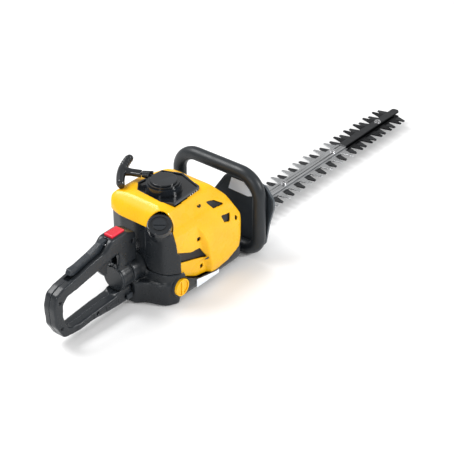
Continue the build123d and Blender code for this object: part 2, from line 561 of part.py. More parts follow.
def rounded_slab(points, half, corner, bevel):
    """Slab across the middle plane with its two outlines bevelled."""
    body = slab_y(points, -half, half, corner)
    rims = [e for e in body.edges() if abs(abs(e.center().Y) - half) < 0.01]
    return chamfer(rims, bevel)


def make_rear_handle():
    body = rounded_slab(HANDLE_OUTER, GRIP_HALF, 8, 4)
    body += rounded_slab(BLOCK, BLOCK_HALF, 5, 4) + rounded_slab(RAIL, BLOCK_HALF, 5, 4)
    body -= slab_y(HANDLE_OPENING, -50, 50, 4)
    body += cyl_x(DRUM_R, -131, SWIVEL_X - GAP, 0, PIVOT_Z)
    body -= cyl_x(DRUM_R + GAP, SWIVEL_X - GAP, -80, 0, PIVOT_Z)
    body -= cyl_x(STUB_R + RUNNING, -126, -80, 0, PIVOT_Z)
    body -= cyl_x(13, -126, -117, 0, PIVOT_Z)
    body -= cyl_x(DRUM_R, -145, -131, 0, PIVOT_Z)
    body -= box(-186, -117, -6.2, 6.2, 90, 130)
    body -= slab_y(LEVER_POCKET, -5.6, 5.6)
    body -= box(SWITCH_X[0] - 0.8, SWITCH_X[1] + 0.8, -SWITCH_HALF - GAP, SWITCH_HALF + GAP, 144.5, 170)
    px, pz = TRIGGER_PIVOT
    lx, lz = LEVER_PIVOT
    pins = [cyl_y(2.0, -9, 9, px, pz), cyl_y(1.8, -9, 9, lx, lz)]
    for pin in pins:
        body -= pin
    screw_places = [(-272, 92), (-272, 40), (-190, 27), (-121, 26), (-100, 128)]
    screws = []
    for x, z in screw_places:
        depth = -10 if z < 120 else -12
        one = cyl_y(3.2, depth - 2, depth, x, z) - cyl_y(1.5, depth - 3, depth - 0.8, x, z)
        one += cyl_y(1.7, depth, 9, x, z)
        screws.append(one)
        body -= cyl_y(3.4, -30, depth, x, z) + cyl_y(1.7, depth - 1, 9, x, z)
    parts["handle_left"] = body & box(-300, -80, 0, 50, -20, 200)
    parts["handle_right"] = body & box(-300, -80, -50, 0, -20, 200)
    parts["handle_screws"] = Compound(screws)
    parts["handle_pins"] = Compound(pins)
    cap = cyl_x(DRUM_R - 1.5, -134.5, -131, 0, PIVOT_Z)
    parts["swivel_cap"] = fillet(cap.edges().filter_by(GeomType.CIRCLE).group_by(Axis.X)[0], 1.2)
    stub = cyl_x(STUB_R, -117.4, -70, 0, PIVOT_Z) + cyl_x(12.5, -121, -117.4, 0, PIVOT_Z)
    parts["swivel_stub"] = (stub + cyl_x(13, -74, -70, 0, PIVOT_Z)) - cyl_x(4, -130, -60, 0, PIVOT_Z)

    trigger = slab_y(TRIGGER, -5.5, 5.5, 2) - cyl_y(2.0 + RUNNING, -20, 20, px, pz)
    parts["throttle_trigger"] = trigger
    lever = slab_y(LEVER, -5, 5, 1.5) - cyl_y(1.8 + RUNNING, -20, 20, lx, lz)
    parts["lockout_lever"] = lever
    rocker = box(SWITCH_X[0], SWITCH_X[1], -SWITCH_HALF, SWITCH_HALF, 148, 154)
    parts["stop_switch"] = fillet(rocker.edges().group_by(Axis.Z)[-1], 1.5)
    latch = box(-122, -109, -19.5, -16.2, 19, 29)
    parts["swivel_latch"] = latch


make_side_cover()
make_top_cover()
make_starter()
make_lower_housing()
make_tank_and_walls()
make_engine()
make_drive()
make_blade()
make_front_handle()
make_rear_handle()

os.makedirs("parts", exist_ok=True)
for name, shape in parts.items():
    export_step(shape, f"parts/{name}.step")
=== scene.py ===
import json
import math

import bmesh
import bpy
import numpy as np
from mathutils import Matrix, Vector


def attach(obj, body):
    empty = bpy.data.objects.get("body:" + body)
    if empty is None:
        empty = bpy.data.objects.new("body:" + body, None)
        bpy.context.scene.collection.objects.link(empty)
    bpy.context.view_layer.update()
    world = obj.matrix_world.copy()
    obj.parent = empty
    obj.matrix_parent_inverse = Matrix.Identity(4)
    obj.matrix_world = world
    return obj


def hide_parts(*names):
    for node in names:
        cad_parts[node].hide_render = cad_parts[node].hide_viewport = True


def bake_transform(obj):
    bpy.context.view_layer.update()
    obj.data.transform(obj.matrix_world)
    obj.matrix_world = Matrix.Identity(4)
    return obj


# Petrol hedge trimmer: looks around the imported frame. Outlines are in millimetres, objects in metres.
MM = 0.001
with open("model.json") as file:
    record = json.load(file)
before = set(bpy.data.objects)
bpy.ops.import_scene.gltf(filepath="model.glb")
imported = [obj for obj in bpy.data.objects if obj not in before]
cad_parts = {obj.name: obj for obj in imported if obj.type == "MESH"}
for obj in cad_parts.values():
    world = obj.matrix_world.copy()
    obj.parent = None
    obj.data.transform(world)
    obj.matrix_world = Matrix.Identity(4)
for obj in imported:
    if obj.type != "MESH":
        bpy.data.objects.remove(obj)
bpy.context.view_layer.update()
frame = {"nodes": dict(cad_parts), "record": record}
NODES = frame["nodes"]


# ---- camera, floor and light ------------------------------------------------
AZIMUTH, ELEVATION = math.radians(-50.88), math.radians(32.42)
TARGET = Vector((0.1719, 0.0, 0.0147))
DISTANCE = 2.6291
LENS = 112.19


def make_camera():
    back = Vector((math.sin(AZIMUTH) * math.cos(ELEVATION), -math.cos(AZIMUTH) * math.cos(ELEVATION),
                   math.sin(ELEVATION)))
    data = bpy.data.cameras.new("camera")
    data.lens, data.sensor_width = LENS, 36.0
    camera = bpy.data.objects.new("camera", data)
    camera.location = TARGET + back * DISTANCE
    camera.rotation_euler = back.to_track_quat("Z", "Y").to_euler()
    bpy.context.scene.collection.objects.link(camera)
    bpy.context.scene.camera = camera


def area_light(name, place, aim, size, watts, colour=(1, 1, 1)):
    data = bpy.data.lights.new(name, "AREA")
    data.shape, data.size, data.energy, data.color = "DISK", size, watts, colour
    lamp = bpy.data.objects.new(name, data)
    lamp.location = place
    lamp.rotation_euler = (Vector(place) - Vector(aim)).to_track_quat("Z", "Y").to_euler()
    bpy.context.scene.collection.objects.link(lamp)


def make_light():
    bpy.context.scene.view_settings.view_transform = "Standard"
    world = bpy.data.worlds.new("studio")
    bpy.context.scene.world = world
    world.use_nodes = True
    background = world.node_tree.nodes["Background"]
    background.inputs[0].default_value = (1.0, 1.0, 1.0, 1)
    background.inputs[1].default_value = 0.66
    area_light("key", (-0.5, 1.2, 1.9), (0.1, 0, 0.05), 1.3, 42)
    area_light("rear", (-1.9, -0.5, 1.1), (0, 0, 0.08), 0.5, 8)
    area_light("side", (0.8, -1.8, 1.2), (0.1, 0, 0.08), 0.5, 24)


# ---- materials ----------------------------------------------------------------
class Shader:
    """A small node-tree builder around one Principled shader."""

    def __init__(self, name, colour, rough, metal=0.0, coat=0.0, specular=0.5):
        self.mat = bpy.data.materials.new(name)
        self.mat.use_nodes = True
        self.tree = self.mat.node_tree
        self.bsdf = self.tree.nodes["Principled BSDF"]
        self.bsdf.inputs["Base Color"].default_value = (*colour, 1)
        self.bsdf.inputs["Roughness"].default_value = rough
        self.bsdf.inputs["Metallic"].default_value = metal
        self.bsdf.inputs["Coat Weight"].default_value = coat
        self.bsdf.inputs["Specular IOR Level"].default_value = specular
        self.colour, self.rough = colour, rough
        self.where = self.node("ShaderNodeTexCoord").outputs["Object"]

    def node(self, kind, **settings):
        made = self.tree.nodes.new(kind)
        for key, value in settings.items():
            setattr(made, key, value)
        return made

    def link(self, a, b):
        self.tree.links.new(a, b)

    def noise(self, scale, detail=3.0, stretch=(1, 1, 1)):
        mapping = self.node("ShaderNodeMapping")
        mapping.inputs["Scale"].default_value = stretch
        self.link(self.where, mapping.inputs["Vector"])
        noise = self.node("ShaderNodeTexNoise")
        noise.inputs["Scale"].default_value = scale
        noise.inputs["Detail"].default_value = detail
        self.link(mapping.outputs[0], noise.inputs["Vector"])
        return noise.outputs["Fac"]

    def ranged(self, value, low, high, from_low=0.3, from_high=0.7):
        ramp = self.node("ShaderNodeMapRange")
        limits = {"From Min": from_low, "From Max": from_high, "To Min": low, "To Max": high}
        for key, number in limits.items():
            ramp.inputs[key].default_value = number
        self.link(value, ramp.inputs["Value"])
        return ramp.outputs[0]

    def mix(self, factor, a, b):
        mix = self.node("ShaderNodeMix", data_type="RGBA")
        self.link(factor, mix.inputs[0])
        for socket, value in ((mix.inputs[6], a), (mix.inputs[7], b)):
            if isinstance(value, bpy.types.NodeSocket):
                self.link(value, socket)
            else:
                socket.default_value = (*value, 1)
        return mix.outputs[2]

    def bump(self, height, strength, distance, normal=None):
        bump = self.node("ShaderNodeBump")
        bump.inputs["Strength"].default_value = strength
        bump.inputs["Distance"].default_value = distance
        self.link(height, bump.inputs["Height"])
        if normal is not None:
            self.link(normal, bump.inputs["Normal"])
        return bump.outputs[0]

    def edges(self, low=0.5, high=0.56):
        """1 on convex edges, from the mesh's pointiness."""
        return self.ranged(self.node("ShaderNodeNewGeometry").outputs["Pointiness"], 0, 1, low, high)

    def painted_corner_shade(self, reach):
        """1 in deep corners, where shade is painted."""
        ao = self.node("ShaderNodeAmbientOcclusion", samples=6)
        ao.inputs["Distance"].default_value = reach
        return self.ranged(ao.outputs["AO"], 1, 0, 0.25, 0.8)


def shade(colour, factor):
    return tuple(min(c * factor, 1.0) for c in colour)


def moulded(name, colour, rough, grain, depth, wear=1.25, coat=0.0, specular=0.4, reach=0.006,
             painted_shade_colour=None):
    """Moulded plastic: fine grain, slightly uneven tone and gloss, paler rubbed edges, painted shade in deep
    corners.
    """
    s = Shader(name, colour, rough, coat=coat, specular=specular)
    tone = s.mix(s.ranged(s.noise(18, 4), 0, 1), shade(colour, 0.93), shade(colour, 1.06))
    tone = s.mix(s.edges(), tone, shade(colour, wear))
    # Painted shade: the colour darkens towards the shade colour in deep corners, from ambient occlusion.
    tone = s.mix(s.ranged(s.painted_corner_shade(reach), 0, 0.6, 0, 1), tone, painted_shade_colour or shade(colour, 0.45))
    s.link(tone, s.bsdf.inputs["Base Color"])
    s.link(s.ranged(s.noise(60, 5), rough - 0.05, rough + 0.07), s.bsdf.inputs["Roughness"])
    coarse = s.bump(s.noise(grain, 2), depth, 0.0004)
    fine = s.bump(s.noise(grain * 4, 2), depth * 0.6, 0.0002, coarse)
    s.link(fine, s.bsdf.inputs["Normal"])
    return s.mat


# Dark colour painted on the cutters' outer part, standing in for the dark surroundings the steel mirrors.
PAINTED_DARK_REFLECTION = (0.012, 0.013, 0.015)
DARK_REFLECTION_FROM_X = 0.541  # metres, where the painted dark reflection on the cutters' outer part starts


def metal(name, colour, rough, stretch=(1, 1, 1), streaks=250, stain=0.7, dark_reflection_from=None):
    """Worked metal: tool marks along one direction, uneven gloss, stains, a painted dark reflection beyond an
    x.
    """
    s = Shader(name, colour, rough, metal=1.0)
    lines = s.noise(streaks, 6, stretch)
    tone = s.mix(s.ranged(lines, 0, 1), shade(colour, 0.86), shade(colour, 1.08))
    tone = s.mix(s.ranged(s.noise(25, 5), 0, 0.4, 0.5, 0.75), tone, shade(colour, stain))
    # Painted reflection: beyond the given x the steel's colour turns dark.
    if dark_reflection_from:
        along = s.node("ShaderNodeSeparateXYZ")
        s.link(s.where, along.inputs[0])
        beyond = s.ranged(along.outputs["X"], 0, 1, dark_reflection_from, dark_reflection_from + 0.002)
        tone = s.mix(beyond, tone, PAINTED_DARK_REFLECTION)
    s.link(tone, s.bsdf.inputs["Base Color"])
    s.link(s.ranged(lines, rough - 0.06, rough + 0.12), s.bsdf.inputs["Roughness"])
    s.link(s.bump(lines, 0.12, 0.0003), s.bsdf.inputs["Normal"])
    return s.mat


def coated(name, colour, rough):
    """Black finish on steel, paler in worn patches, with uneven gloss."""
    s = Shader(name, colour, rough, metal=0.35)
    worn = s.ranged(s.noise(140, 6), 0, 1, 0.55, 0.72)
    s.link(s.mix(worn, colour, shade(colour, 2.2)), s.bsdf.inputs["Base Color"])
    s.link(s.ranged(s.noise(90, 4), rough - 0.06, rough + 0.08), s.bsdf.inputs["Roughness"])
    s.link(s.bump(s.noise(900, 3), 0.1, 0.0003), s.bsdf.inputs["Normal"])
    return s.mat


def woven(name, colour, pitch, rough=0.85):
    """Braided cord or open foam: fine raised cells with uneven tone."""
    s = Shader(name, colour, rough)
    cells = s.node("ShaderNodeTexVoronoi")
    cells.inputs["Scale"].default_value = 1 / pitch
    s.link(s.where, cells.inputs["Vector"])
    s.link(s.mix(s.ranged(cells.outputs["Distance"], 0, 1, 0, 0.8), shade(colour, 1.15), shade(colour, 0.5)),
           s.bsdf.inputs["Base Color"])
    s.link(s.bump(cells.outputs["Distance"], 0.6, pitch * 0.4), s.bsdf.inputs["Normal"])
    return s.mat


def make_materials():
    return {
        # The yellow's last colour, dark orange, is the painted shade of its deep corners.
        "yellow": moulded("yellow_cover", (0.86, 0.455, 0.004), 0.27, 700, 0.04, 1.08, 0.1, 0.3, 0.012,
                           (0.60, 0.22, 0.0)),
        "black": moulded("black_casing", (0.0105, 0.013, 0.016), 0.29, 900, 0.10, 2.0, 0.0, 0.36),
        "rubber": moulded("grip_rubber", (0.0125, 0.0155, 0.0185), 0.38, 1100, 0.08, 1.4, 0.0, 0.36),
        # The hand guard's black is a paler copy of the casing black: painted light on a face the lamps leave
        # dark.
        "guard_painted_light_black": moulded("guard_painted_light_black", (0.034, 0.041, 0.048), 0.40, 900, 0.10, 1.5),
        "gloss_black": moulded("starter_black", (0.006, 0.0075, 0.0095), 0.16, 500, 0.03, 2.0, 0.3, 0.36),
        "red": moulded("switch_red", (0.46, 0.018, 0.03), 0.30, 600, 0.05, 2.4),
        "label": moulded("label_silver", (0.74, 0.79, 0.86), 0.35, 300, 0.03, 1.1),
        "steel": metal("machined_steel", (0.60, 0.60, 0.61), 0.26),
        "cutter_steel": metal("ground_steel", (0.52, 0.53, 0.54), 0.27, (0.08, 1, 1), 420, 0.7, DARK_REFLECTION_FROM_X),
        "black_steel": coated("black_steel", (0.010, 0.011, 0.013), 0.34),
        "alloy": metal("die_cast", (0.55, 0.56, 0.57), 0.45, (1, 1, 1), 500, 0.8),
        "cable_black": moulded("cable_black", (0.012, 0.012, 0.013), 0.5, 1200, 0.1, 1.3),
        "rope": woven("rope_braid", (0.04, 0.04, 0.044), 0.0012),
        "foam": woven("filter_foam", (0.06, 0.06, 0.065), 0.0015),
        "white_plastic": moulded("pulley_plastic", (0.62, 0.62, 0.58), 0.45, 800, 0.08, 1.05),
    }


MATERIALS = make_materials()
SLOT_OF_NODE = {s["node"]: s["material_slot"] for s in frame["record"]["subparts"]}


GLOSSY = ("starter_plate", "starter_cap", "rope_guide", "starter_grip", "fuel_cap")
FINISH = {node: "gloss_black" for node in GLOSSY}
FINISH |= {"handle_screws": "black_steel", "cover_screws": "black_steel", "hand_guard": "guard_painted_light_black"}


def dress(obj, finish):
    obj.data.materials.clear()
    obj.data.materials.append(MATERIALS[finish])


def dress_nodes():
    """Materials of the CAD nodes: the record's slots, with a few finer finishes."""
    for node, obj in NODES.items():
        dress(obj, FINISH.get(node, SLOT_OF_NODE[node]))


# ---- mesh tools -----------------------------------------------------------------
def new_object(name, mesh):
    obj = bpy.data.objects.new(name, mesh)
    bpy.context.scene.collection.objects.link(obj)
    return obj


def drop(obj):
    bpy.data.objects.remove(obj)


def baked(obj):
    """Apply the object's modifiers to its mesh."""
    graph = bpy.context.evaluated_depsgraph_get()
    mesh = bpy.data.meshes.new_from_object(obj.evaluated_get(graph))
    obj.modifiers.clear()
    obj.data = mesh
    return obj


def duplicate(obj, name):
    return new_object(name, obj.data.copy())


def rounded(points, radius, steps=6):
    """The outline with curves at its corners, smaller where the sides are short."""
    pts = [Vector(p) for p in points]
    if not radius:
        return pts
    out = []
    for i, p in enumerate(pts):
        a, b = pts[i - 1] - p, pts[(i + 1) % len(pts)] - p
        half = a.angle(b) / 2
        reach = min(radius / math.tan(half), 0.48 * a.length, 0.48 * b.length) if half > 1e-3 else 0
        if half > math.pi / 2 - 0.03:
            out.append(p)
            continue
        start, end = p + a.normalized() * reach, p + b.normalized() * reach
        for k in range(steps + 1):
            t = k / steps
            out.append(start * (1 - t) ** 2 + p * 2 * t * (1 - t) + end * t ** 2)
    return out


PLANES = {"x": lambda u, v, w: (w, u, v), "y": lambda u, v, w: (u, w, v), "z": lambda u, v, w: (u, v, w)}


def prism(points, axis, low, high, radius=0.0):
    """Closed prism along an axis from an outline in the other two."""
    place = PLANES[axis]
    ring = rounded(points, radius)
    bm = bmesh.new()
    rings = [[bm.verts.new(Vector(place(p[0], p[1], w)) * MM) for p in ring] for w in (low, high)]
    bm.faces.new(rings[0])
    bm.faces.new(rings[1])
    for i in range(len(ring)):
        j = (i + 1) % len(ring)
        bm.faces.new((rings[0][i], rings[0][j], rings[1][j], rings[1][i]))
    return solid_from(bm, "prism")


def solid_from(bm, name):
    bmesh.ops.recalc_face_normals(bm, faces=bm.faces)
    mesh = bpy.data.meshes.new(name)
    bm.to_mesh(mesh)
    bm.free()
    return new_object(name, mesh)


def lathe(profile, origin, axis, steps=64, name="turned"):
    """Solid of revolution. The profile is a list of (radius, height) in millimetres, from axis to axis."""
    turn = Vector((0, 0, 1)).rotation_difference(Vector(axis).normalized()).to_matrix()
    bm = bmesh.new()
    rings = []
    for r, h in profile:
        if r < 1e-6:
            rings.append([bm.verts.new((turn @ Vector((0, 0, h)) + Vector(origin)) * MM)])
        else:
            ring = []
            for k in range(steps):
                a = 2 * math.pi * k / steps
                spoke = Vector((r * math.cos(a), r * math.sin(a), h))
                ring.append(bm.verts.new((turn @ spoke + Vector(origin)) * MM))
            rings.append(ring)
    for lower, upper in zip(rings, rings[1:]):
        for k in range(steps):
            n = (k + 1) % steps
            quad = [lower[k % len(lower)], lower[n % len(lower)],
                    upper[n % len(upper)], upper[k % len(upper)]]
            unique = list(dict.fromkeys(quad))
            if len(unique) > 2:
                bm.faces.new(unique)
    return solid_from(bm, name)


def loft(centres, point_at, steps, name):
    """Closed tube through one ring per centre; point_at(centre, index, angle) gives a ring's points."""
    bm = bmesh.new()
    angles = [2 * math.pi * n / steps for n in range(steps)]
    rings = [[bm.verts.new(point_at(centre, k, a) * MM) for a in angles]
             for k, centre in enumerate(centres)]
    for lower, upper in zip(rings, rings[1:]):
        for n in range(steps):
            after = (n + 1) % steps
            bm.faces.new((lower[n], lower[after], upper[after], upper[n]))
    bm.faces.new(rings[0])
    bm.faces.new(rings[-1])
    return solid_from(bm, name)


def rod(origin, axis, radius, length, steps=48):
    return lathe([(0, 0), (radius, 0), (radius, length), (0, length)], origin, axis, steps, "rod")


def block(x0, x1, y0, y1, z0, z1):
    return prism([(x0, y0), (x1, y0), (x1, y1), (x0, y1)], "z", z0, z1)


def combine(target, others, operation):
    """Boolean with each of the others, which are used up."""
    for other in others:
        mod = target.modifiers.new("bool", "BOOLEAN")
        mod.operation, mod.object, mod.solver = operation, other, "MANIFOLD"
        baked(target)
        drop(other)
    return target


def cut(target, *others):
    return combine(target, others, "DIFFERENCE")


def keep(target, *others):
    return combine(target, others, "INTERSECT")


def add(target, *others):
    return combine(target, others, "UNION")


def smoothed(obj, passes):
    smooth = obj.modifiers.new("smooth", "SMOOTH")
    smooth.factor, smooth.iterations = 0.5, passes
    return baked(obj)


def soften(obj, voxel, passes):
    """Even voxel mesh, smoothed so that every edge gets a moulded radius."""
    remesh = obj.modifiers.new("voxels", "REMESH")
    remesh.mode, remesh.voxel_size = "VOXEL", voxel * MM
    return smoothed(obj, passes)


def per_vertex(obj, what):
    values = np.empty(len(obj.data.vertices) * 3)
    obj.data.vertices.foreach_get(what, values)
    return values.reshape(-1, 3)


def move_vertices(obj, places):
    obj.data.vertices.foreach_set("co", places.ravel())
    obj.data.update()


def shrunk(obj, amount):
    """Copy of a mesh moved inwards along its normals."""
    inner = duplicate(obj, "inner")
    move_vertices(inner, per_vertex(inner, "co") - per_vertex(inner, "normal") * amount * MM)
    return inner


def grind_edges(obj):
    """A small bevel that catches the light along a blade's edges."""
    weld = obj.modifiers.new("weld", "WELD")
    weld.merge_threshold = 0.00001
    bevel = obj.modifiers.new("ground edges", "BEVEL")
    bevel.width, bevel.segments = 0.0009, 1
    bevel.limit_method, bevel.angle_limit = "ANGLE", math.radians(40)


def finish_piece(obj, name, body, finish, slot, *nodes):
    """Name, shade, dress and register a finished piece."""
    obj.name = name
    obj.data.name = name
    for polygon in obj.data.polygons:
        polygon.use_smooth = True
    dress(obj, finish)
    if nodes:
        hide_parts(*nodes)
    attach(obj, body)
    return obj


def make_floor():
    floor = new_object("floor", bpy.data.meshes.new("floor"))
    bm = bmesh.new()
    bmesh.ops.create_grid(bm, x_segments=2, y_segments=2, size=30)
    bm.to_mesh(floor.data)
    bm.free()
    s = Shader("floor", (0.9, 0.9, 0.9), 0.6)
    s.link(s.mix(s.noise(3), (0.89, 0.89, 0.89), (0.91, 0.91, 0.91)), s.bsdf.inputs["Base Color"])
    floor.data.materials.append(s.mat)


# ---- engine casing: one smooth body, cut into panels ------------------------------
PLAN = [(-80, -29), (-73, -65), (-50, -82), (62, -85), (108, -84), (130, -64),
        (130, 44), (104, 70), (60, 82), (-30, 83), (-68, 64), (-80, 29)]
FRONT = [(-66, 0), (-79, 16), (-84, 42), (-84, 84), (-79, 114), (-68, 146), (-50, 173), (-32, 181),
         (36, 181), (61, 178), (76, 161), (82, 136), (84, 104), (84, 14), (70, 0)]
SIDE = [(-70, -4), (-86, 14), (-86, 58), (-80, 66), (-78, 148), (-66, 167), (-46, 186),
        (40, 186), (68, 173), (90, 149), (107, 118), (123, 88), (131, 62), (130, 44), (119, 9), (108, -4)]
DECK, RIM = 62.0, 148.0  # top of the lower casing and foot of the roof
GAP = 0.35               # kept by the black panels from the deck and the rim
LAP = 0.6                # each yellow cover goes this far past the rim
WALL = 3.0
FAR = 150                # beyond the casing on every side
# The right side: a set-back rear panel, then a block that stands out further. The block's rear edge
# leans forwards on its way down, and its upper edge falls towards the front.
BLOCK_Y, REAR_PANEL_Y = -83.0, -73.0
BLOCK_REAR_X, BLOCK_LEAN, RAMP_WIDTH = -4, 0.22, 10
BLOCK_TOP_X, BLOCK_TOP_Z, BLOCK_FALL, BAND_WIDTH = -6, 149, 0.24, 25


def master_body():
    """Three outlines crossed, with the roof's far corner sloped off, smoothed into one rounded casing."""
    body = prism(PLAN, "z", 0.2, 190, 14)
    keep(body, prism(FRONT, "x", -FAR, FAR, 8), prism(SIDE, "y", -FAR, FAR, 8))
    cut(body, rod((4, 63, 176), (0.30, 0.75, 0.6), 2 * FAR, 200))
    return soften(body, 2.0, 38)


def side_limit(x, z):
    """How far out the right side may stand: a set-back rear panel, a ramp and the front block."""
    ramp = np.clip((x - BLOCK_REAR_X - (RIM - z) * BLOCK_LEAN) / RAMP_WIDTH, 0, 1)
    band = np.clip((BLOCK_TOP_Z - (x - BLOCK_TOP_X) * BLOCK_FALL - z) / BAND_WIDTH, 0, 1)
    return REAR_PANEL_Y + (BLOCK_Y - REAR_PANEL_Y) * np.minimum(ramp, band)


def blocked_body(master):
    """The body with the right side's front block and set-back rear panel."""
    body = duplicate(master, "blocked")
    co = per_vertex(body, "co") / MM
    side = (co[:, 1] < -55) & (co[:, 2] > 12) & (co[:, 2] < 158)
    co[side, 1] = np.maximum(co[side, 1], side_limit(co[side, 0], co[side, 2]))
    move_vertices(body, co * MM)
    return smoothed(body, 2)


MASTER = master_body()
BLOCKED = blocked_body(MASTER)
CORE = shrunk(MASTER, WALL)
BLOCKED_CORE = shrunk(BLOCKED, WALL)
SIDE_COVER = [(-57, 153), (-55, 102), (-15, 84), (8, 82), (24, 56), (-46, 77), (-40, 48),
              (-4, 29), (42, 21), (74, 25.5), (104, 42), (115, 81), (111, 112), (89, 153)]
VENTS = [[(38, 156), (50, 140), (79, 137), (57, 152)],
         [(62, 122), (86, 118), (81, 103), (67, 108)],
         [(96, 110), (103, 102), (99, 97), (95, 101)]]
PLATE = [(-14, 46), (-34.5, 29.5), (-39.5, -28.5), (-28, -49), (41, -45), (56.5, 6), (43, 41)]
CAP_AXIS = Vector((-0.317, -0.256, 0.913)).normalized()
CAP_SEAT = Vector((-66, -48, 148))
CAP_R, CAP_GAP = 21.5, 1.2
TANK_X, TANK_Y = -50.0, -24.0
BOSS_X, BOSS_R = -106, 24.0
KNOB_X, KNOB_Z = -51, 35
ROOF_SCREWS = [(20, -61), (84, 36)]
SIDE_RECESSES = [(5, 101), (12, 42)]
TAIL_TOP = 44.5          # low enough to stay clear of the handle as it swivels


def cap_clearance():
    """Room around the fuel cap."""
    return rod(CAP_SEAT - CAP_AXIS * 30, CAP_AXIS, CAP_R + CAP_GAP, 90)


def panel(master, *tools):
    """The part of a body that lies inside every tool."""
    return keep(duplicate(master, "panel"), *tools)


def make_top_cover():
    cover = panel(BLOCKED, block(-FAR, FAR, -FAR, FAR, RIM - LAP, 200))
    cut(cover, duplicate(BLOCKED_CORE, "core"), prism(PLATE, "z", 140, 200, 4), cap_clearance())
    cut(cover, prism(VENTS[0], "y", -100, -50, 2))
    for x, y in ROOF_SCREWS:
        add(cover, keep(duplicate(BLOCKED, "boss"), rod((x, y, RIM + 1), (0, 0, 1), 6.5, 60)))
        cut(cover, rod((x, y, 163), (0, 0, 1), 4.0, 30))
    soften(cover, 1.0, 4)
    return finish_piece(cover, "top_cover_shell", "engine_unit", "yellow", "yellow", "top_cover")


def make_side_cover():
    cover = panel(BLOCKED, prism(SIDE_COVER, "y", -100, -44, 3), block(-FAR, FAR, -FAR, FAR, 0, RIM + LAP))
    cut(cover, duplicate(BLOCKED_CORE, "core"))
    for vent in VENTS:
        cut(cover, prism(vent, "y", -100, -50, 2))
    for x, z in SIDE_RECESSES:
        cut(cover, block(x - 3.5, x + 3.5, -100, -50, z - 4.0, z + 4.0))
    for row in range(5):
        cut(cover, block(104, 105.5, -100, -60, 50 + row * 8, 55 + row * 8))
    cut(cover, cap_clearance())
    soften(cover, 0.9, 4)
    return finish_piece(cover, "side_cover_shell", "engine_unit", "yellow", "yellow", "side_cover")


def make_shade_liner():
    """Dark inner wall seen through the slots, in place of the plain heat shield: painted shade of the
    casing's inside.
    """
    liner = keep(shrunk(BLOCKED_CORE, 0.8), block(-56, 110, -100, -57, 22, 164))
    cut(liner, shrunk(BLOCKED_CORE, 2.2))
    return finish_piece(liner, "heat_shield_painted_shade", "engine_unit", "black_steel", "steel", "heat_shield")


def make_tank():
    """Fuel tank column with its rounded lower corner and filler neck."""
    tank = panel(MASTER, block(-100, TANK_X, -100, TANK_Y, DECK + GAP, RIM - GAP),
                 prism([(TANK_Y, 220), (TANK_Y, DECK), (-160, DECK), (-160, 220)], "x", -120, 0, 22))
    cut(tank, prism(SIDE_COVER, "y", -110, -40, 3))
    neck = lathe([(0, -34), (14, -34), (18.5, -10), (18.5, 0), (0, 0)], CAP_SEAT, CAP_AXIS)
    add(tank, neck)
    cut(tank, rod(CAP_SEAT - CAP_AXIS * 0.2, CAP_AXIS, CAP_R + 2, 40))
    soften(tank, 1.0, 8)
    return finish_piece(tank, "fuel_tank_column", "engine_unit", "black", "black", "fuel_tank")


def make_lower_housing():
    """Lower casing that flows into the round boss for the rear handle."""
    body = panel(MASTER, block(-FAR, FAR, -FAR, FAR, -1, DECK))
    boss_profile = [(0, 0), (BOSS_R, 0), (24.5, 17), (27, 28), (27, 42), (0, 42)]
    boss = lathe(boss_profile, (BOSS_X, 0, DECK), (1, 0, 0))
    right = [(-104, -20), (-95, -28), (-88, -39), (-82, -57), (-73, -71), (-50, -81)]
    tail = prism(right + [(x, -y) for x, y in reversed(right)], "z", 1, TAIL_TOP, 6)
    add(body, tail)
    soften(body, 1.5, 16)
    add(body, boss)
    soften(body, 1.4, 10)
    cut(body, duplicate(CORE, "core"), prism(SIDE_COVER, "y", -100, -40, 3))
    cut(body, block(-130, BOSS_X + 0.3, -60, 60, 0, 120), block(100, 140, -45, 45, -1, 44))
    cut(body, rod((KNOB_X, -70, KNOB_Z), (0, -1, 0), 17.0, 40),
        rod((-130, 0, DECK), (1, 0, 0), 9.0, 62))
    cut(body, block(-200, 200, -200, 200, -10, 0.3))
    add(body, rod((KNOB_X, -79, KNOB_Z), (0, 1, 0), 18.5, 6))
    soften(body, 1.2, 3)
    return finish_piece(body, "lower_housing_shell", "engine_unit", "black", "black", "lower_housing")


def finish_panel(piece, name, node):
    soften(piece, 1.1, 4)
    return finish_piece(piece, name, "engine_unit", "black", "black", node)


def make_rear_housing():
    rear = keep(shrunk(MASTER, WALL), block(-100, -30.3, TANK_Y + GAP, 100, DECK - 12, RIM - GAP))
    cut(rear, shrunk(CORE, WALL))
    return finish_panel(rear, "rear_housing_shell", "rear_housing")


def make_filter_cover():
    left = panel(MASTER, block(-30, 57.7, 40, 100, DECK + GAP, RIM - GAP))
    cut(left, duplicate(CORE, "core"))
    for k in range(6):
        cut(left, block(-14 + k * 10, -9 + k * 10, 60, 100, 76, 104))
    return finish_panel(left, "filter_cover_shell", "filter_cover")


def make_front_shield():
    front = panel(MASTER, block(58, 140, -100, 100, DECK + GAP, RIM - GAP))
    cut(front, duplicate(CORE, "core"), prism(SIDE_COVER, "y", -100, -40, 3))
    cut(front, block(90, 140, -36, -8, 84, 100))
    for k in range(5):
        cut(front, block(90, 140, 4 + k * 9, 9 + k * 9, 76, 132))
    return finish_panel(front, "front_shield_shell", "front_shield")


